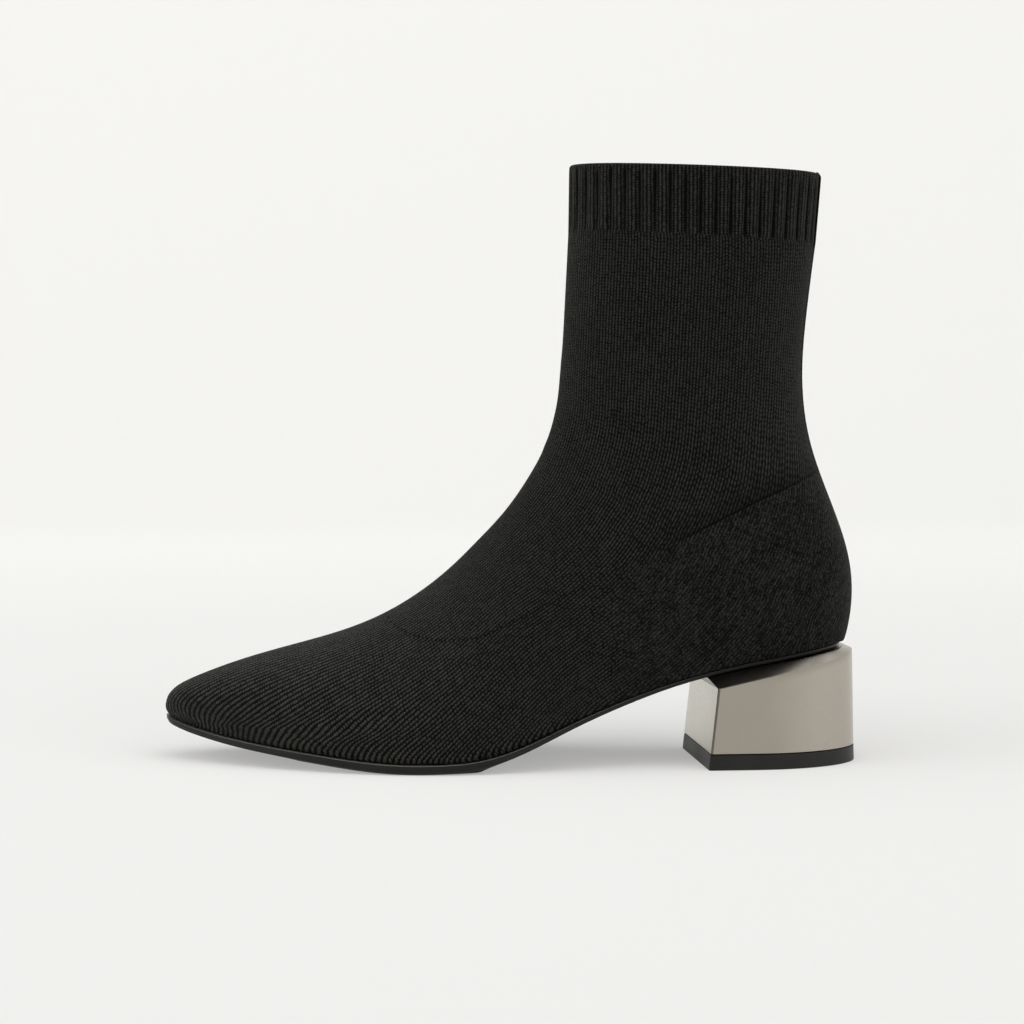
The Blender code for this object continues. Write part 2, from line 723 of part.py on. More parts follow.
def swung(outline, degrees):
    # Turns an outline about the block's rearmost point, so that its breast swings to the outer side.
    angle = math.radians(degrees)
    back = BOOT_LENGTH / 2
    halves = []
    for side in outline:
        halves.append([
            (back + (x - back) * math.cos(angle) - y * math.sin(angle),
             BLOCK_BACK_ASIDE + (x - back) * math.sin(angle) + y * math.cos(angle))
            for x, y in side
        ])
    return halves


def block_levels():
    # The block's outlines on the ground, at its shoulder and under the seat.
    back = BOOT_LENGTH / 2
    front = back - BLOCK_LENGTH
    half = BLOCK_WIDTH / 2
    ground = block_outline(front, back, half, BLOCK_ROUND, BREAST_SKEW)
    shoulder_front, shoulder_back = front + SHOULDER_SETBACK, back - SHOULDER_BACK
    shoulder_half = half + SHOULDER_FLARE
    shoulder = block_outline(shoulder_front, shoulder_back, shoulder_half, SHOULDER_ROUND, BREAST_SKEW)
    seat_back = along_to_x(FOOT_SECTIONS[-1][0]) - FIT_GAP
    seat_half = FOOT_SECTIONS[-1][FOOT_COLUMNS.index("outer")] * BALL_WIDTH - FIT_GAP
    seat = block_outline(seat_back - SEAT_LENGTH, seat_back, seat_half, HEEL_ROUND, SEAT_SKEW)
    ground, shoulder = swung(ground, BLOCK_TURN), swung(shoulder, SHOULDER_TURN)
    return ground, shoulder, seat, shoulder[0][1][0]


def between(first, second, share):
    # An outline part of the way from one to another.
    mixed = []
    for a_side, b_side in zip(first, second):
        pairs = zip(a_side, b_side)
        mixed.append([(ax + (bx - ax) * share, ay + (by - ay) * share) for (ax, ay), (bx, by) in pairs])
    return mixed


def raised(outline, height_at):
    return tuple([Vector((x, y, height_at(x))) for x, y in side] for side in outline)


def build_heel_block():
    ground, shoulder, seat, shoulder_front = block_levels()
    foot = LIFT_HEIGHT + FIT_GAP
    underside = sole_underside()
    levels = [
        raised(between(ground, shoulder, foot / SHOULDER_HEIGHT), lambda x: foot),
        raised(shoulder, lambda x: SHOULDER_HEIGHT + SHOULDER_SLOPE * (x - shoulder_front)),
        raised(seat, lambda x: line_height(underside, x) - FIT_GAP),
    ]
    return lofted_strip("heel_block", levels)


def build_top_piece():
    ground, shoulder, _, _ = block_levels()
    levels = [
        raised(ground, lambda x: 0.0),
        raised(between(ground, shoulder, LIFT_HEIGHT / SHOULDER_HEIGHT), lambda x: LIFT_HEIGHT),
    ]
    return lofted_strip("top_piece", levels)


def main():
    clear_scene()
    build_upper()
    build_insole()
    build_outsole()
    build_heel_block()
    build_top_piece()


main()
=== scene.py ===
import math

import bmesh
import bpy
import numpy as np
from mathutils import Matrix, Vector


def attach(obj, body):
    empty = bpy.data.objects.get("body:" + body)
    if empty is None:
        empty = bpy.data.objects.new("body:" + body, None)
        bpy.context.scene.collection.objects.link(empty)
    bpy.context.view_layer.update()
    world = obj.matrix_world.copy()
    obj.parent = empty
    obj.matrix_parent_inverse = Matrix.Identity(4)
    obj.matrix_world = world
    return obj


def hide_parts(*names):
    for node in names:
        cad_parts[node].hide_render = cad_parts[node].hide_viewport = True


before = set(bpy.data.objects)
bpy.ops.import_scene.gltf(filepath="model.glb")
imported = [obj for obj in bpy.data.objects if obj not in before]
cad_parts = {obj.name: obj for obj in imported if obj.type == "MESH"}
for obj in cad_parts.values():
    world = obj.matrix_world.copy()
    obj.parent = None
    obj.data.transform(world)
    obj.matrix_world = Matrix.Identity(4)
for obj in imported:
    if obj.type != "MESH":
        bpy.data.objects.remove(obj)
bpy.context.view_layer.update()


# General helpers

def deselectAll():
    if bpy.context.object and bpy.context.object.mode != "OBJECT":
        bpy.ops.object.mode_set(mode="OBJECT")
    bpy.ops.object.select_all(action="DESELECT")


def makeActive(piece):
    deselectAll()
    piece.select_set(True)
    bpy.context.view_layer.objects.active = piece


def nodeCopy(node, name):
    # one welded copy of a CAD node, with four-sided faces wherever two triangles make one
    piece = bpy.data.objects.new(name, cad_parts[node].data.copy())
    bpy.context.scene.collection.objects.link(piece)
    piece.data.materials.clear()
    makeActive(piece)
    bpy.ops.object.mode_set(mode="EDIT")
    bpy.ops.mesh.select_all(action="SELECT")
    bpy.ops.mesh.remove_doubles(threshold=0.00001)
    bpy.ops.mesh.tris_convert_to_quads(face_threshold=math.radians(70), shape_threshold=math.radians(80))
    bpy.ops.object.mode_set(mode="OBJECT")
    if piece.data.has_custom_normals:
        bpy.ops.mesh.customdata_custom_splitnormals_clear()
    bpy.ops.object.shade_smooth()
    return piece


def subdivide(piece, levels):
    makeActive(piece)
    smooth = piece.modifiers.new("smooth", "SUBSURF")
    smooth.levels = levels
    smooth.render_levels = levels
    bpy.ops.object.modifier_apply(modifier=smooth.name)


def bevelEdges(piece, width, segments, degrees):
    makeActive(piece)
    bevel = piece.modifiers.new("edges", "BEVEL")
    bevel.width = width
    bevel.segments = segments
    bevel.limit_method = "ANGLE"
    bevel.angle_limit = math.radians(degrees)
    bevel.harden_normals = False
    bpy.ops.object.modifier_apply(modifier=bevel.name)


def finishPiece(piece, material, node):
    piece.data.materials.clear()
    piece.data.materials.append(material)
    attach(piece, "root")
    if node:
        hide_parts(node)


# Shader helpers

def newMaterial(name):
    material = bpy.data.materials.new(name)
    material.use_nodes = True
    tree = material.node_tree
    return material, tree, tree.nodes["Principled BSDF"]


def feed(tree, socket, value):
    if hasattr(value, "is_output"):
        tree.links.new(value, socket)
    else:
        socket.default_value = value


def calc(tree, operation, first, second=0.0):
    step = tree.nodes.new("ShaderNodeMath")
    step.operation = operation
    feed(tree, step.inputs[0], first)
    feed(tree, step.inputs[1], second)
    return step.outputs[0]


def ramp(tree, value, low, high, fromValue=0.0, toValue=1.0):
    # a soft step between two values
    step = tree.nodes.new("ShaderNodeMapRange")
    step.interpolation_type = "SMOOTHSTEP"
    feed(tree, step.inputs["Value"], value)
    for key, number in (("From Min", low), ("From Max", high), ("To Min", fromValue), ("To Max", toValue)):
        feed(tree, step.inputs[key], number)
    return step.outputs["Result"]


def mixColour(tree, share, first, second):
    mix = tree.nodes.new("ShaderNodeMix")
    mix.data_type = "RGBA"
    feed(tree, mix.inputs["Factor"], share)
    feed(tree, mix.inputs[6], first)
    feed(tree, mix.inputs[7], second)
    return mix.outputs[2]


def timesThen(tree, value, factor, operation, other):
    # a value times a factor, then joined to something else, as in other + value * factor
    return calc(tree, operation, other, calc(tree, "MULTIPLY", value, factor))


def around(tree, value, amount):
    # a texture's swing round its middle, times an amount
    return calc(tree, "MULTIPLY", calc(tree, "SUBTRACT", value, 0.5), amount)


def apart(tree, vector):
    # the three parts of a vector
    parts = tree.nodes.new("ShaderNodeSeparateXYZ")
    tree.links.new(vector, parts.inputs[0])
    return parts.outputs[0], parts.outputs[1], parts.outputs[2]


def surfaceNormal(tree):
    return tree.nodes.new("ShaderNodeNewGeometry").outputs["Normal"]


def noise(tree, coordinates, scale, detail=3.0, roughness=0.5):
    cloud = tree.nodes.new("ShaderNodeTexNoise")
    cloud.inputs["Scale"].default_value = scale
    cloud.inputs["Detail"].default_value = detail
    cloud.inputs["Roughness"].default_value = roughness
    tree.links.new(coordinates, cloud.inputs["Vector"])
    return cloud.outputs["Fac"]


def objectCoordinates(tree):
    return tree.nodes.new("ShaderNodeTexCoord").outputs["Object"]


def attribute(tree, name):
    reader = tree.nodes.new("ShaderNodeAttribute")
    reader.attribute_name = name
    return reader.outputs["Fac"]


def bump(tree, height, distance, strength=1.0):
    step = tree.nodes.new("ShaderNodeBump")
    step.inputs["Distance"].default_value = distance
    step.inputs["Strength"].default_value = strength
    tree.links.new(height, step.inputs["Height"])
    return step.outputs["Normal"]


def newGroup(name, inputs, outputs):
    group = bpy.data.node_groups.new(name, "ShaderNodeTree")
    for label, kind in inputs:
        group.interface.new_socket(label, in_out="INPUT", socket_type=kind)
    for label, kind in outputs:
        group.interface.new_socket(label, in_out="OUTPUT", socket_type=kind)
    return group, group.nodes.new("NodeGroupInput"), group.nodes.new("NodeGroupOutput")


def useGroup(tree, group, **values):
    step = tree.nodes.new("ShaderNodeGroup")
    step.node_tree = group
    for key, value in values.items():
        feed(tree, step.inputs[key], value)
    return step


# The knit's own lines

knit = {
    "levels": 2,
    "toeWale": 0.00190,       # distance between wales at the toe
    "shaftWale": 0.00122,
    "course": 0.00112,        # distance between rows of stitches
    "cuffCourse": 0.00096,
    "seedWidth": 0.006,
    "seamStrip": 0.0032,      # half the back seam's strip with its edge
    "ribsPerSide": 21,
    "walesPerRib": 4,
    "narrowing": (0.035, 0.150),     # where the wales draw closer, from the toe on
    "evening": 30,            # rounds of smoothing across the wales
    "courseEvening": 12,      # and along them
    "acrossFront": (0.008, 0.016),   # the front's strip that is evened out with a sign
    "ringHeight": 0.012,      # of the ring round the cuff that is measured
    "middle": (0.070, 0.0),   # the leg's middle seen from above
}

# front centre line from the tip of the toe to the collar, in mm
frontLine = [
    (-131.6, 4.0, 16.1), (-133.4, 4.0, 19.5), (-132.4, 4.0, 23.8), (-126.8, 4.1, 29.3), (-113.2, 4.3, 35.1),
    (-94.1, 4.7, 41.0), (-71.6, 5.1, 46.8), (-55.7, 5.4, 52.7), (-44.2, 5.6, 58.9), (-34.5, 5.6, 64.8),
    (-20.6, 5.0, 76.4), (-9.1, 3.9, 88.0), (1.0, 2.5, 99.5), (8.7, 1.4, 111.1), (14.0, 0.7, 122.7),
    (17.5, 0.2, 134.2), (19.8, 0.0, 151.4), (21.3, 0.0, 174.4), (22.4, 0.0, 203.0), (22.7, 0.0, 228.0),
]

# the dotted seam where the knit of the foot is linked to that of the leg, seen from the side, in mm
linkLine = [
    (-48.9, 57.4), (-43.5, 52.8), (-34.7, 49.7), (-25.8, 48.7), (-15.4, 49.5), (-8.4, 51.4), (7.0, 59.0),
    (22.8, 66.6), (48.4, 79.7), (67.8, 88.9), (79.6, 94.8), (90.6, 100.3), (100.0, 104.5), (113.5, 110.2),
    (119.0, 112.3),
]


def curveThrough(points, steps):
    # a smooth line through the points, in metres
    rows = np.array(points, float) / 1000
    padded = np.vstack([2 * rows[0] - rows[1], rows, 2 * rows[-1] - rows[-2]])
    found = []
    for a, b, c, d in zip(padded, padded[1:], padded[2:], padded[3:]):
        for k in range(steps):
            t = k / steps
            square = (2 * a - 5 * b + 4 * c - d) * t ** 2
            cube = (3 * b - a - 3 * c + d) * t ** 3
            found.append(0.5 * (2 * b + (c - a) * t + square + cube))
    return np.array(found + [rows[-1]])


def nearestOnLine(places, line, normals=None):
    # distance to a line, where along it the nearest point is, and the line's direction there
    runs = np.concatenate([[0.0], np.cumsum(np.linalg.norm(np.diff(line, axis=0), axis=1))])
    best = np.full(len(places), 1e9)
    along = np.zeros(len(places))
    offset = np.zeros_like(places)
    heading = np.zeros_like(places)
    for k, (start, end) in enumerate(zip(line, line[1:])):
        way = end - start
        length = np.linalg.norm(way)
        t = np.clip((places - start) @ way / length ** 2, 0, 1)
        gap = places - start - t[:, None] * way
        if normals is not None:
            lift = (gap * normals).sum(1)
            flat = gap - lift[:, None] * normals
            distance = np.sqrt((flat ** 2).sum(1) + 0.05 * lift ** 2)
        else:
            distance = np.linalg.norm(gap, axis=1)
        closer = distance < best
        best[closer] = distance[closer]
        along[closer] = runs[k] + t[closer] * length
        offset[closer] = gap[closer]
        heading[closer] = way / length
    return best, along, offset, heading


def surfaceDistance(places, quads, seeds, startDistance, startAlong):
    # distance over the surface from the seeded points, and the place on the line that each is measured from
    corners = []
    for a, b, c in ((0, 1, 2), (0, 2, 3), (0, 1, 3), (1, 2, 3)):
        for k, i, j in ((a, b, c), (b, c, a), (c, a, b)):
            corners.append(quads[:, [k, i, j]])
    corners = np.vstack(corners)
    one, two, three = corners.T
    corners = corners[(one != two) & (two != three) & (one != three)]
    corners = corners[np.argsort(corners[:, 0], kind="stable")]
    k, i, j = corners.T
    first = places[i] - places[k]
    second = places[j] - places[k]
    aa, ab, bb = (first ** 2).sum(1), (first * second).sum(1), (second ** 2).sum(1)
    area = aa * bb - ab ** 2
    usable = area > 1e-18
    k, i, j, aa, ab, bb, area = (part[usable] for part in (k, i, j, aa, ab, bb, area))
    qaa, qab, qbb = bb / area, -ab / area, aa / area
    total = qaa + 2 * qab + qbb
    lengthI, lengthJ = np.sqrt(aa), np.sqrt(bb)
    starts = np.flatnonzero(np.r_[True, k[1:] != k[:-1]])
    owners = k[starts]
    distance = np.where(seeds, startDistance, 9.0)
    for sweep in range(600):
        ti, tj = distance[i], distance[j]
        middle = (qaa + qab) * ti + (qab + qbb) * tj
        square = qaa * ti ** 2 + 2 * qab * ti * tj + qbb * tj ** 2 - 1.0
        root = middle ** 2 - total * square
        straight = (middle + np.sqrt(np.maximum(root, 0.0))) / total
        wi = qaa * (ti - straight) + qab * (tj - straight)
        wj = qab * (ti - straight) + qbb * (tj - straight)
        fine = (root >= 0) & (wi <= 0) & (wj <= 0)
        offered = np.where(fine, straight, np.minimum(ti + lengthI, tj + lengthJ))
        least = np.minimum.reduceat(offered, starts)
        better = distance.copy()
        better[owners] = np.minimum(distance[owners], least)
        better[seeds] = startDistance[seeds]
        change = np.abs(better - distance).max()
        distance = better
        if change < 1e-6:
            break
    # the best corner of each point says where its line came from
    winner = np.zeros(len(places), int)
    rank = np.lexsort((offered, k))
    firstOfOwner = np.flatnonzero(np.r_[True, k[rank][1:] != k[rank][:-1]])
    winner[k[rank][firstOfOwner]] = rank[firstOfOwner]
    nearer = np.where(ti + lengthI < tj + lengthJ, 1.0, 0.0)
    share = np.where(fine, wi / np.minimum(wi + wj, -1e-12), nearer)
    wi, pi, pj = share[winner], i[winner], j[winner]
    along = np.where(seeds, startAlong, 0.0)
    for step in range(sweep + 20):
        along = np.where(seeds, startAlong, wi * along[pi] + (1 - wi) * along[pj])
    print("knit lines settled after", sweep + 1, "sweeps")
    return distance, along


def smoothed(values, edges, count, times):
    degree = np.bincount(edges.ravel(), minlength=count)
    for step in range(times):
        total = np.bincount(edges[:, 0], values[edges[:, 1]], count)
        total = total + np.bincount(edges[:, 1], values[edges[:, 0]], count)
        values = 0.5 * values + 0.5 * total / degree
    return values


def softStep(values, low, high):
    # from 0 at low to 1 at high, also where high is the smaller of the two
    t = np.clip((values - low) / (high - low), 0, 1)
    return t * t * (3 - 2 * t)


def meshArrays(mesh):
    places = np.empty(len(mesh.vertices) * 3)
    mesh.vertices.foreach_get("co", places)
    normals = np.empty(len(mesh.vertices) * 3)
    mesh.vertices.foreach_get("normal", normals)
    return places.reshape(-1, 3), normals.reshape(-1, 3)


def keepAttribute(mesh, name, values):
    layer = mesh.attributes.new(name, "FLOAT", "POINT")
    layer.data.foreach_set("value", values.astype(np.float32))


def cuffFootHeight(x):
    # the cuff's lower edge drops a little towards the back
    return 0.2030 - 0.05 * (x - 0.0224)


def chartKnit(piece):
    # writes onto the mesh where the wales and rows of stitches run, the linking seam and the cuff's ribs
    mesh = piece.data
    places, normals = meshArrays(mesh)
    count = len(places)
    # a triangle counts as a quad that ends where it starts
    quads = np.array([(tuple(face.vertices) + (face.vertices[0],))[:4] for face in mesh.polygons])
    edges = np.array([tuple(edge.vertices) for edge in mesh.edges])
    line = curveThrough(frontLine, 6)
    near, along, gap, heading = nearestOnLine(places, line, normals)
    height = places[:, 2] - cuffFootHeight(places[:, 0])
    seeds = (near < knit["seedWidth"]) & (np.linalg.norm(gap, axis=1) < 0.009)
    distance, along = surfaceDistance(places, quads, seeds, near, along)
    # evened out with a sign near the front line, so that the wales keep their width across it
    side = np.sign(places[:, 1] - np.interp(places[:, 0], line[:, 0], line[:, 1]))
    signed = np.abs(smoothed(distance * side, edges, count, knit["evening"]))
    nearFront = 1.0 - softStep(distance, *knit["acrossFront"])
    plain = smoothed(distance, edges, count, knit["evening"])
    distance = signed * nearFront + plain * (1.0 - nearFront)
    along = smoothed(along, edges, count, knit["courseEvening"])
    # the wales draw closer from the toe to the ankle, which also turns them upwards on the side of the foot
    narrowing = softStep(along, *knit["narrowing"])
    wales = distance / (knit["toeWale"] + (knit["shaftWale"] - knit["toeWale"]) * narrowing)
    courses = along / knit["course"]
    # round the cuff the ribs are counted along a ring at its middle, from the back seam to the front
    centre = knit["middle"]
    angle = np.arctan2(np.abs(places[:, 1]), centre[0] - places[:, 0])
    outwards = (places[:, 0] - centre[0]) * normals[:, 0] + places[:, 1] * normals[:, 1]
    ring = np.flatnonzero((np.abs(height - knit["ringHeight"]) < 0.003) & (outwards > 0))
    radius = np.hypot(places[ring, 0] - centre[0], places[ring, 1])
    waves = np.arange(9)
    shape = np.linalg.lstsq(np.cos(angle[ring][:, None] * waves), radius, rcond=None)[0]
    turns = np.linspace(0, math.pi, 721)
    reach = np.cos(turns[:, None] * waves) @ shape
    outline = np.stack([reach * np.cos(turns), reach * np.sin(turns)], 1)
    girth = np.concatenate([[0.0], np.cumsum(np.linalg.norm(np.diff(outline, axis=0), axis=1))])
    half = girth[-1]
    rib = (half - knit["seamStrip"]) / knit["ribsPerSide"]
    ribCount = (half - knit["seamStrip"] - np.interp(angle, turns, girth)) / rib
    print("cuff ring:", len(ring), "points, half girth", round(half * 1000, 1), "mm")
    cuffWales = knit["walesPerRib"] * ribCount + 0.5
    cuffCourses = places[:, 2] / knit["cuffCourse"]
    # one map for the loops of the knit, with the cuff's own count above its lower edge
    chart = mesh.uv_layers.new(name="loops")
    uv = np.empty((len(mesh.loops), 2), np.float32)
    for face in mesh.polygons:
        ids = np.array(face.vertices)
        inCuff = height[ids].mean() > 0.0
        span = slice(face.loop_start, face.loop_start + len(ids))
        uv[span, 0] = (cuffWales if inCuff else wales)[ids]
        uv[span, 1] = (cuffCourses if inCuff else courses)[ids]
    chart.data.foreach_set("uv", uv.ravel())
    # the linking seam
    side = places[:, [0, 2]]
    away, run, gap, heading = nearestOnLine(side, curveThrough(linkLine, 6))
    above = np.sign(gap[:, 1] * heading[:, 0] - gap[:, 0] * heading[:, 1])
    belowSeam = softStep(-away * above, 0.0004, 0.0016)
    atBack = softStep(places[:, 0], 0.085, 0.095)
    keepAttribute(mesh, "seamAway", away * above * 1000)
    keepAttribute(mesh, "seamRun", run * 1000)
    keepAttribute(mesh, "cuffShare", softStep(height, -0.0004, 0.0006))
    keepAttribute(mesh, "ribCount", ribCount)
    keepAttribute(mesh, "ribFade", softStep(height, 0.0236, 0.0216))
    keepAttribute(mesh, "heelKnit", belowSeam * softStep(places[:, 0], 0.020, 0.060))
    keepAttribute(mesh, "legShare", softStep(along, 0.060, 0.165))
    keepAttribute(mesh, "backStrip", atBack * softStep(places[:, 2], 0.098, 0.112))


def pressFolds(piece):
    # soft troughs and ridges where the sock gives round the ankle
    folds = [
        # start and end of each fold seen from the side in mm, half width, depth (a ridge is negative)
        ((96, 128), (70, 118), 9.0, 0.0007),
        ((100, 140), (78, 133), 8.0, -0.0004),
        ((16, 118), (46, 108), 7.0, 0.0004),
        ((6, 104), (36, 92), 8.0, 0.0005),
        ((70, 84), (98, 74), 12.0, -0.0006),
    ]
    places, normals = meshArrays(piece.data)
    side = places[:, [0, 2]]
    push = np.zeros(len(places))
    for start, end, halfWidth, depth in folds:
        line = curveThrough([start, end], 4)
        away, run, gap, heading = nearestOnLine(side, line)
        push -= depth * np.exp(-(away * 1000 / halfWidth) ** 2)
    outwards = np.stack([np.zeros(len(places)), np.sign(places[:, 1]), np.zeros(len(places))], 1)
    fadeTop = 1.0 - softStep(places[:, 2], 0.17, 0.20)
    fadeMiddle = softStep(np.abs(places[:, 1]), 0.004, 0.02)
    moved = places + outwards * (push * fadeTop * fadeMiddle)[:, None]
    piece.data.vertices.foreach_set("co", moved.ravel())
    piece.data.update()


# Groups that several materials use

def makeKnitGroup():
    # loops of plain knit: columns with a dark line between them and a hole where four loops meet
    group, given, out = newGroup(
        "knitLoops",
        [("Chart", "NodeSocketVector"), ("Row Depth", "NodeSocketFloat"), ("Slant", "NodeSocketFloat")],
        [(label, "NodeSocketFloat") for label in ("Height", "Random", "Line", "Hole")],
    )
    wale, row, unused = apart(group, given.outputs["Chart"])
    column = calc(group, "FLOOR", calc(group, "ADD", wale, 0.5))
    share = calc(group, "ABSOLUTE", calc(group, "SUBTRACT", wale, column))
    crown = calc(group, "ADD", calc(group, "COSINE", calc(group, "MULTIPLY", share, 2 * math.pi)), 1.0)
    crown = calc(group, "POWER", calc(group, "MULTIPLY", crown, 0.5), 0.55)
    shift = group.nodes.new("ShaderNodeTexWhiteNoise")
    shift.noise_dimensions = "1D"
    group.links.new(column, shift.inputs["W"])
    row = calc(group, "ADD", row, calc(group, "MULTIPLY", shift.outputs["Value"], 0.7))
    slanted = calc(group, "ADD", row, calc(group, "MULTIPLY", share, given.outputs["Slant"]))
    wave = calc(group, "COSINE", calc(group, "MULTIPLY", slanted, 2 * math.pi))
    loop = calc(group, "MULTIPLY", calc(group, "MULTIPLY", wave, 0.5), given.outputs["Row Depth"])
    height = calc(group, "MULTIPLY", crown, calc(group, "ADD", loop, 1.0))
    line = ramp(group, share, 0.27, 0.47)
    hole = calc(group, "MULTIPLY", ramp(group, share, 0.22, 0.45), ramp(group, wave, 0.1, -0.8))
    cell = group.nodes.new("ShaderNodeCombineXYZ")
    group.links.new(column, cell.inputs[0])
    group.links.new(calc(group, "FLOOR", slanted), cell.inputs[1])
    speckle = group.nodes.new("ShaderNodeTexWhiteNoise")
    group.links.new(cell.outputs[0], speckle.inputs["Vector"])
    group.links.new(height, out.inputs["Height"])
    group.links.new(speckle.outputs["Value"], out.inputs["Random"])
    group.links.new(line, out.inputs["Line"])
    group.links.new(hole, out.inputs["Hole"])
    return group


def makeSurfaceGroup():
    # uneven gloss and faint wear of a moulded or coated surface
    group, given, out = newGroup(
        "surfaceWear",
        [("Coordinates", "NodeSocketVector"), ("Scale", "NodeSocketFloat"),
         ("Low", "NodeSocketFloat"), ("High", "NodeSocketFloat")],
        [(label, "NodeSocketFloat") for label in ("Roughness", "Clouds", "Grain")],
    )
    cloud = group.nodes.new("ShaderNodeTexNoise")
    cloud.inputs["Detail"].default_value = 4.0
    group.links.new(given.outputs["Coordinates"], cloud.inputs["Vector"])
    group.links.new(given.outputs["Scale"], cloud.inputs["Scale"])
    grain = group.nodes.new("ShaderNodeTexNoise")
    grain.inputs["Detail"].default_value = 2.0
    group.links.new(given.outputs["Coordinates"], grain.inputs["Vector"])
    group.links.new(calc(group, "MULTIPLY", given.outputs["Scale"], 60.0), grain.inputs["Scale"])
    step = group.nodes.new("ShaderNodeMapRange")
    group.links.new(cloud.outputs["Fac"], step.inputs["Value"])
    step.inputs["From Min"].default_value = 0.3
    step.inputs["From Max"].default_value = 0.7
    group.links.new(given.outputs["Low"], step.inputs["To Min"])
    group.links.new(given.outputs["High"], step.inputs["To Max"])
    group.links.new(step.outputs["Result"], out.inputs["Roughness"])
    group.links.new(cloud.outputs["Fac"], out.inputs["Clouds"])
    group.links.new(grain.outputs["Fac"], out.inputs["Grain"])
    return group


knitLoops = makeKnitGroup()
surfaceWear = makeSurfaceGroup()


# Materials

yarn = {
    "footStitch": (0.0590, 0.0598, 0.0548, 1.0),
    "legStitch": (0.0376, 0.0382, 0.0352, 1.0),
    "cuffStitch": (0.0450, 0.0457, 0.0420, 1.0),
    "between": (0.0016, 0.0016, 0.0015, 1.0),
    "hole": (0.0004, 0.0004, 0.0004, 1.0),
    "unevenness": 0.35,       # from stitch to stitch
    "fluff": 1.9,             # inside a stitch
    "wander": 0.35,           # how far the loops leave their columns
    "pearled": 0.62,          # share of pearled stitches in the heel
    "depth": 0.00035,         # of the bump
}

# all in mm, run is measured along the linking seam from the top of the foot
seam = {
    "holePitch": 1.7,
    "dottedTo": (50.0, 75.0),      # strong dots up to here, then fainter ones
    "solidFrom": (112.0, 135.0),   # a solid line round the heel
    "ridge": 1.3,
    "lowRidge": 1.1,
    "shadeFrom": (95.0, 130.0),    # the leg lies in the heel's shade from here on
    "shadeHeight": 11.0,
    "stripEdge": 0.0030,           # edge of the back seam's strip, in m
}


def wanderingChart(tree, coordinates):
    # the map of the loops, moved about a little
    chart = tree.nodes.new("ShaderNodeUVMap")
    chart.uv_map = "loops"
    drift = tree.nodes.new("ShaderNodeTexNoise")
    drift.inputs["Scale"].default_value = 420.0
    drift.inputs["Detail"].default_value = 2.0
    tree.links.new(coordinates, drift.inputs["Vector"])
    centred = tree.nodes.new("ShaderNodeVectorMath")
    centred.operation = "SUBTRACT"
    tree.links.new(drift.outputs["Color"], centred.inputs[0])
    centred.inputs[1].default_value = (0.5, 0.5, 0.5)
    scaled = tree.nodes.new("ShaderNodeVectorMath")
    scaled.operation = "SCALE"
    tree.links.new(centred.outputs[0], scaled.inputs[0])
    scaled.inputs["Scale"].default_value = yarn["wander"]
    moved = tree.nodes.new("ShaderNodeVectorMath")
    tree.links.new(chart.outputs["UV"], moved.inputs[0])
    tree.links.new(scaled.outputs[0], moved.inputs[1])
    return moved.outputs[0]


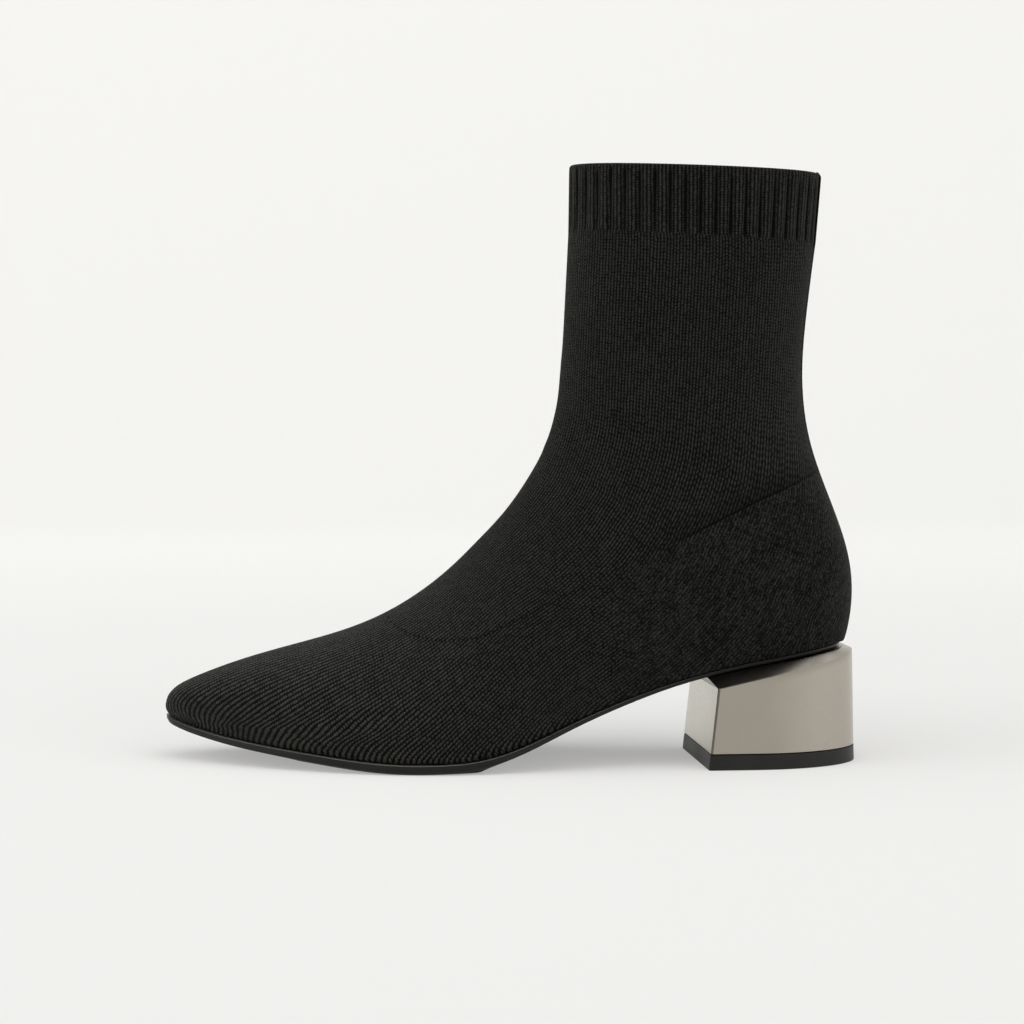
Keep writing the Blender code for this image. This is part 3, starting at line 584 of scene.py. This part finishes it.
def makeKnitMaterial():
    material, tree, shader = newMaterial("blackKnit")
    coordinates = objectCoordinates(tree)
    fluff = noise(tree, coordinates, 2100.0, 2.0, 0.6)
    clouds = noise(tree, coordinates, 55.0, 4.0)
    chart = wanderingChart(tree, coordinates)
    loops = useGroup(tree, knitLoops, **{"Chart": chart, "Row Depth": 0.6, "Slant": 0.9})
    # the heel is knitted denser, in small pearled stitches without clear columns
    pearl = tree.nodes.new("ShaderNodeTexVoronoi")
    pearl.inputs["Scale"].default_value = 1250.0
    tree.links.new(coordinates, pearl.inputs["Vector"])
    pearls = ramp(tree, pearl.outputs["Distance"], 0.15, 0.80, 0.95, 0.30)
    pearled = calc(tree, "MULTIPLY", attribute(tree, "heelKnit"), yarn["pearled"])
    plain = calc(tree, "SUBTRACT", 1.0, pearled)
    stitch = calc(tree, "MULTIPLY", loops.outputs["Height"], plain)
    stitch = timesThen(tree, pearls, pearled, "ADD", stitch)
    line = calc(tree, "MULTIPLY", loops.outputs["Line"], plain)
    hole = calc(tree, "MULTIPLY", loops.outputs["Hole"], plain)
    # pinholes of the linking seam, one for every stitch, and the ridges beside them
    away = attribute(tree, "seamAway")
    run = attribute(tree, "seamRun")
    holes = calc(tree, "COSINE", calc(tree, "MULTIPLY", run, 2 * math.pi / seam["holePitch"]))
    holes = ramp(tree, holes, -0.2, 0.7)
    seamLine = ramp(tree, calc(tree, "ABSOLUTE", away), 0.22, 0.62, 1.0, 0.0)
    solid = ramp(tree, run, *seam["solidFrom"], 0.05, 0.95)
    drawnFront = ramp(tree, run, *seam["dottedTo"], 1.0, 0.45)
    drawn = calc(tree, "MAXIMUM", drawnFront, ramp(tree, run, 112.0, 130.0))
    pinholes = calc(tree, "MULTIPLY", calc(tree, "MAXIMUM", holes, solid), seamLine)
    pinholes = calc(tree, "MULTIPLY", pinholes, drawn)
    fromRidge = calc(tree, "ABSOLUTE", calc(tree, "SUBTRACT", away, seam["ridge"]))
    fromLowRidge = calc(tree, "ABSOLUTE", calc(tree, "ADD", away, seam["lowRidge"]))
    ridge = ramp(tree, fromRidge, 0.2, 1.0, 1.0, 0.0)
    lowRidge = calc(tree, "MULTIPLY", ramp(tree, fromLowRidge, 0.2, 0.9, 1.0, 0.0), solid)
    # the groove between two ribs of the cuff, darkened by painted shade
    cuff = calc(tree, "MULTIPLY", attribute(tree, "cuffShare"), attribute(tree, "ribFade"))
    ribs = attribute(tree, "ribCount")
    ribPart = calc(tree, "SUBTRACT", ribs, calc(tree, "FLOOR", calc(tree, "ADD", ribs, 0.5)))
    groove = ramp(tree, calc(tree, "ABSOLUTE", ribPart), 0.06, 0.20, 1.0, 0.0)
    groove = calc(tree, "MULTIPLY", groove, cuff)
    # the back seam's strip has a dark line on each side
    x, y, z = apart(tree, coordinates)
    edge = calc(tree, "SUBTRACT", calc(tree, "ABSOLUTE", y), seam["stripEdge"])
    stripEdge = ramp(tree, calc(tree, "ABSOLUTE", edge), 0.0001, 0.0005, 1.0, 0.0)
    stripEdge = calc(tree, "MULTIPLY", stripEdge, attribute(tree, "backStrip"))
    # colour: dark between the wales, paler on the loops, uneven from stitch to stitch
    leg = attribute(tree, "legShare")
    tone = calc(tree, "ADD", around(tree, loops.outputs["Random"], yarn["unevenness"]), stitch)
    tone = calc(tree, "ADD", tone, around(tree, clouds, 0.3))
    tone = calc(tree, "ADD", tone, around(tree, fluff, yarn["fluff"]))
    pale = mixColour(tree, leg, yarn["footStitch"], yarn["legStitch"])
    pale = mixColour(tree, cuff, pale, yarn["cuffStitch"])
    base = mixColour(tree, ramp(tree, tone, 0.15, 1.55), yarn["between"], pale)
    lineShare = calc(tree, "MULTIPLY", line, ramp(tree, cuff, 0.0, 1.0, 1.0, 0.5))
    lineShare = calc(tree, "MULTIPLY", lineShare, ramp(tree, leg, 0.0, 1.0, 0.85, 0.50))
    base = mixColour(tree, lineShare, base, yarn["between"])
    base = mixColour(tree, calc(tree, "MULTIPLY", hole, 0.95), base, yarn["hole"])
    # painted shade in the cuff's grooves, with the dark pinholes of the seam
    dark = timesThen(tree, groove, 0.93, "MAXIMUM", calc(tree, "MULTIPLY", pinholes, 0.95))
    dark = timesThen(tree, stripEdge, 0.8, "MAXIMUM", dark)
    # the leg just above the seam's back part lies in its shade
    shade = ramp(tree, away, 0.2, seam["shadeHeight"], 0.45, 0.0)
    shade = calc(tree, "MULTIPLY", shade, ramp(tree, run, *seam["shadeFrom"]))
    shade = calc(tree, "MULTIPLY", shade, ramp(tree, away, -0.3, 0.2))
    base = mixColour(tree, calc(tree, "MAXIMUM", dark, shade), base, yarn["hole"])
    tree.links.new(base, shader.inputs["Base Color"])
    height = timesThen(tree, fluff, 0.3, "ADD", stitch)
    height = timesThen(tree, hole, 0.5, "SUBTRACT", height)
    height = timesThen(tree, calc(tree, "ADD", pinholes, groove), 1.5, "SUBTRACT", height)
    height = timesThen(tree, calc(tree, "ADD", ridge, lowRidge), 0.8, "ADD", height)
    height = timesThen(tree, stripEdge, 0.8, "SUBTRACT", height)
    tree.links.new(bump(tree, height, yarn["depth"]), shader.inputs["Normal"])
    tree.links.new(ramp(tree, fluff, 0.3, 0.7, 0.80, 0.95), shader.inputs["Roughness"])
    shader.inputs["Specular IOR Level"].default_value = 0.08
    shader.inputs["Sheen Weight"].default_value = 0.05
    shader.inputs["Sheen Roughness"].default_value = 0.30
    shader.inputs["Sheen Tint"].default_value = (0.80, 0.80, 0.74, 1.0)
    return material


rubber = {
    "sole": (0.0060, 0.0060, 0.0058, 1.0),
    # a painted highlight on the lip's edges that face up
    "lipTopHighlight": (0.190, 0.182, 0.166, 1.0),
    "lift": (0.0110, 0.0108, 0.0104, 1.0),
}


def makeRubberMaterial(name, colour, low, high, topHighlight=None):
    # black rubber, with an optional painted highlight: a paler colour on edges that face up
    material, tree, shader = newMaterial(name)
    coordinates = objectCoordinates(tree)
    wear = useGroup(tree, surfaceWear, Coordinates=coordinates, Scale=45.0, Low=low, High=high)
    paler = tuple(min(1.0, part * 1.9) for part in colour[:3]) + (1.0,)
    base = mixColour(tree, ramp(tree, wear.outputs["Clouds"], 0.35, 0.75), colour, paler)
    if topHighlight:
        # painted highlight: faces that look up are paler
        x, y, upward = apart(tree, surfaceNormal(tree))
        base = mixColour(tree, ramp(tree, upward, 0.35, 0.75), base, topHighlight)
    tree.links.new(base, shader.inputs["Base Color"])
    tree.links.new(wear.outputs["Roughness"], shader.inputs["Roughness"])
    tree.links.new(bump(tree, wear.outputs["Grain"], 0.00006, 0.6), shader.inputs["Normal"])
    shader.inputs["Specular IOR Level"].default_value = 0.25
    return material


pewter = {
    "side": (0.372, 0.343, 0.294, 1.0),
    # painted highlights: the paler colours for the back of the side and for the breast
    "sideBackHighlight": (0.437, 0.400, 0.350, 1.0),
    "breast": (0.552, 0.523, 0.452, 1.0),
    "shade": (0.100, 0.092, 0.080, 1.0),
    "sideHighlightFrom": (0.094, 0.118),         # where the side gets paler
    "shoulderShade": (0.112, 0.127),     # where the shoulder's shade ends
}


def makeHeelMaterial():
    # satin metal coat, with painted highlights: the breast is brightest and the back of the side a little
    # paler
    material, tree, shader = newMaterial("pewterCoat")
    coordinates = objectCoordinates(tree)
    wear = useGroup(tree, surfaceWear, Coordinates=coordinates, Scale=38.0, Low=0.24, High=0.31)
    x, y, z = apart(tree, coordinates)
    backward, sideways, upward = apart(tree, surfaceNormal(tree))
    # painted highlight: the side turns paler towards the back
    turn = calc(tree, "ADD", x, around(tree, wear.outputs["Clouds"], 0.03))
    side = mixColour(tree, ramp(tree, turn, *pewter["sideHighlightFrom"]), pewter["side"], pewter["sideBackHighlight"])
    # painted highlight: faces that look forward, the breast, are paler
    base = mixColour(tree, ramp(tree, backward, -0.55, -0.90), side, pewter["breast"])
    # the shoulder is dull in the heel seat's shade
    top = ramp(tree, x, *pewter["shoulderShade"], 0.75, 0.0)
    top = calc(tree, "MULTIPLY", ramp(tree, upward, 0.25, 0.55), top)
    # painted shade: a soft dark band along the shoulder's edge, just below it, towards the back
    rim = timesThen(tree, calc(tree, "SUBTRACT", x, 0.076), 0.24, "ADD", 0.0305)
    rimShade = ramp(tree, calc(tree, "SUBTRACT", rim, z), 0.0, 0.0045, 0.30, 0.0)
    rimShade = calc(tree, "MULTIPLY", rimShade, ramp(tree, x, 0.090, 0.112))
    # painted shade: the upright edge between breast and side shows as a thin dark line
    edge = ramp(tree, backward, -0.90, -0.80, 0.0, 0.8)
    edge = calc(tree, "MULTIPLY", ramp(tree, backward, -0.20, -0.35), edge)
    shade = calc(tree, "MAXIMUM", calc(tree, "MAXIMUM", top, rimShade), edge)
    base = mixColour(tree, shade, base, pewter["shade"])
    tree.links.new(base, shader.inputs["Base Color"])
    tree.links.new(wear.outputs["Roughness"], shader.inputs["Roughness"])
    tree.links.new(bump(tree, wear.outputs["Grain"], 0.00002, 0.4), shader.inputs["Normal"])
    shader.inputs["Metallic"].default_value = 1.0
    return material


insoleCloth = {"dark": (0.012, 0.012, 0.012, 1.0), "pale": (0.050, 0.048, 0.046, 1.0)}


def makeInsoleMaterial():
    material, tree, shader = newMaterial("insoleCloth")
    coordinates = objectCoordinates(tree)
    weave = tree.nodes.new("ShaderNodeTexChecker")
    weave.inputs["Scale"].default_value = 900.0
    tree.links.new(coordinates, weave.inputs["Vector"])
    clouds = noise(tree, coordinates, 50.0)
    tone = timesThen(tree, clouds, 0.6, "ADD", calc(tree, "MULTIPLY", weave.outputs["Fac"], 0.4))
    cloth = mixColour(tree, tone, insoleCloth["dark"], insoleCloth["pale"])
    tree.links.new(cloth, shader.inputs["Base Color"])
    tree.links.new(bump(tree, tone, 0.0002, 0.6), shader.inputs["Normal"])
    tree.links.new(ramp(tree, clouds, 0.3, 0.7, 0.75, 0.9), shader.inputs["Roughness"])
    return material


# Knitted upper

def makeUpper():
    piece = nodeCopy("upper", "knitUpper")
    subdivide(piece, knit["levels"])
    pressFolds(piece)
    chartKnit(piece)
    finishPiece(piece, makeKnitMaterial(), "upper")
    print("knitted upper:", len(piece.data.polygons), "faces")
    return piece


# Sole, insole, heel and lift

solePieces = {
    "outsole": {"levels": 2, "corner": 30, "round": 0.00016, "segments": 2, "raise": 0.0003},
    "insole": {"levels": 1, "corner": 30, "round": 0.0005, "segments": 2},
    "heel": {"levels": 2, "corner": 18, "round": 0.0005, "segments": 2},
    "lift": {"levels": 2, "corner": 30, "round": 0.0003, "segments": 2},
}


def makeHardPiece(node, name, sizes, material):
    piece = nodeCopy(node, name)
    bevelEdges(piece, sizes["round"], sizes["segments"], sizes["corner"])
    subdivide(piece, sizes["levels"])
    if "raise" in sizes:
        # the sole's upper face comes up to the knit
        places, normals = meshArrays(piece.data)
        places[:, 2] += sizes["raise"] * softStep(normals[:, 2], 0.2, 0.6)
        piece.data.vertices.foreach_set("co", places.ravel())
        piece.data.update()
    finishPiece(piece, material, node)
    print(name + ":", len(piece.data.polygons), "faces")
    return piece


# Room, light and camera

room = {
    "floor": (0.534, 0.535, 0.529, 1.0),
    "wall": (0.588, 0.589, 0.581, 1.0),
    "glow": 0.63,
    "wallAt": 1.3,
    "floorFront": -12.0,
    "halfWidth": 12.0,
    "wallTop": 2.6,
    "sweep": 0.7,             # radius between floor and wall
}


def makeRoom():
    deselectAll()
    bpy.ops.mesh.primitive_plane_add(size=2.0, location=(0, 0, 0))
    floor = bpy.context.object
    floor.name = "studioFloor"
    depth = room["wallAt"] - room["floorFront"]
    floor.scale = (room["halfWidth"], depth / 2, 1.0)
    floor.location = (0, (room["wallAt"] + room["floorFront"]) / 2, 0)
    bpy.ops.object.transform_apply(location=True, rotation=True, scale=True)
    bpy.ops.object.mode_set(mode="EDIT")
    bpy.ops.mesh.select_all(action="DESELECT")
    shape = bmesh.from_edit_mesh(floor.data)
    for edge in shape.edges:
        edge.select_set(all(corner.co.y > room["wallAt"] - 0.001 for corner in edge.verts))
    bmesh.update_edit_mesh(floor.data)
    bpy.ops.mesh.extrude_region_move(TRANSFORM_OT_translate={"value": (0, 0, room["wallTop"])})
    bpy.ops.mesh.select_all(action="DESELECT")
    shape = bmesh.from_edit_mesh(floor.data)
    for edge in shape.edges:
        atWall = all(corner.co.y > room["wallAt"] - 0.001 for corner in edge.verts)
        edge.select_set(atWall and all(corner.co.z < 0.001 for corner in edge.verts))
    bmesh.update_edit_mesh(floor.data)
    bpy.ops.mesh.bevel(offset=room["sweep"], segments=16)
    bpy.ops.object.mode_set(mode="OBJECT")
    bpy.ops.object.shade_smooth()
    material, tree, shader = newMaterial("palePaper")
    coordinates = objectCoordinates(tree)
    x, y, z = apart(tree, coordinates)
    clouds = noise(tree, coordinates, 1.5, 2.0)
    sweep = timesThen(tree, clouds, 0.04, "ADD", ramp(tree, y, 0.3, 1.2))
    # the paper glows a little, painted light that keeps the shadow under the boot pale
    paper = mixColour(tree, sweep, room["floor"], room["wall"])
    tree.links.new(paper, shader.inputs["Base Color"])
    tree.links.new(paper, shader.inputs["Emission Color"])
    shader.inputs["Emission Strength"].default_value = room["glow"]
    shader.inputs["Roughness"].default_value = 0.75
    shader.inputs["Specular IOR Level"].default_value = 0.2
    floor.data.materials.append(material)


def addSoftLight(name, place, target, size, power):
    glow = bpy.data.lights.new(name, "AREA")
    glow.shape = "SQUARE"
    glow.size = size
    glow.energy = power
    lamp = bpy.data.objects.new(name, glow)
    lamp.location = place
    lamp.rotation_euler = (Vector(target) - Vector(place)).to_track_quat("-Z", "Y").to_euler()
    bpy.context.scene.collection.objects.link(lamp)


light = {
    "air": 1.17,
    "pale": (0.995, 1.0, 0.992, 1.0),
    "dimSide": (0.42, 0.38, 0.35, 1.0),
    "darkSide": (0.10, 0.10, 0.10, 1.0),
    "top": 7.0,
    "left": 5.0,
}


def makeLight():
    # even pale air, with a dimmer, warmer side in front of the boot that the metal heel mirrors
    world = bpy.data.worlds.new("studioAir")
    bpy.context.scene.world = world
    world.use_nodes = True
    tree = world.node_tree
    air = tree.nodes["Background"]
    x, y, z = apart(tree, tree.nodes.new("ShaderNodeTexCoord").outputs["Generated"])
    dim = ramp(tree, y, -0.50, -0.80)
    dark = ramp(tree, x, -0.86, -0.97)
    colour = mixColour(tree, dim, light["pale"], light["dimSide"])
    tree.links.new(mixColour(tree, dark, colour, light["darkSide"]), air.inputs["Color"])
    air.inputs["Strength"].default_value = light["air"]
    addSoftLight("topLight", (0.1, -0.2, 1.9), (0.0, 0.0, 0.05), 1.6, light["top"])
    addSoftLight("leftLight", (-1.6, -0.3, 0.8), (0.0, 0.0, 0.1), 1.2, light["left"])


camera = {
    "sensor": 36.0,
    "focalPixels": 2498.0,
    "picture": 1024.0,
    "place": (0.00096, -0.960, 0.1574),
    "down": 3.7,              # degrees that it looks down
}


def makeCamera():
    lens = bpy.data.cameras.new("photoCamera")
    lens.sensor_width = camera["sensor"]
    lens.lens = camera["focalPixels"] / camera["picture"] * camera["sensor"]
    lens.clip_start = 0.01
    eye = bpy.data.objects.new("photoCamera", lens)
    eye.location = camera["place"]
    eye.rotation_euler = (math.radians(90.0 - camera["down"]), 0.0, 0.0)
    bpy.context.scene.collection.objects.link(eye)
    bpy.context.scene.camera = eye
    bpy.context.scene.view_settings.view_transform = "Standard"


soleRubber = makeRubberMaterial("soleRubber", rubber["sole"], 0.36, 0.48, topHighlight=rubber["lipTopHighlight"])
liftRubber = makeRubberMaterial("liftRubber", rubber["lift"], 0.40, 0.52)
makeUpper()
makeHardPiece("outsole", "soleEdge", solePieces["outsole"], soleRubber)
makeHardPiece("insole", "insoleBoard", solePieces["insole"], makeInsoleMaterial())
makeHardPiece("heel_block", "heelBlock", solePieces["heel"], makeHeelMaterial())
makeHardPiece("top_piece", "heelLift", solePieces["lift"], liftRubber)
makeRoom()
makeLight()
makeCamera()
print("scene made")
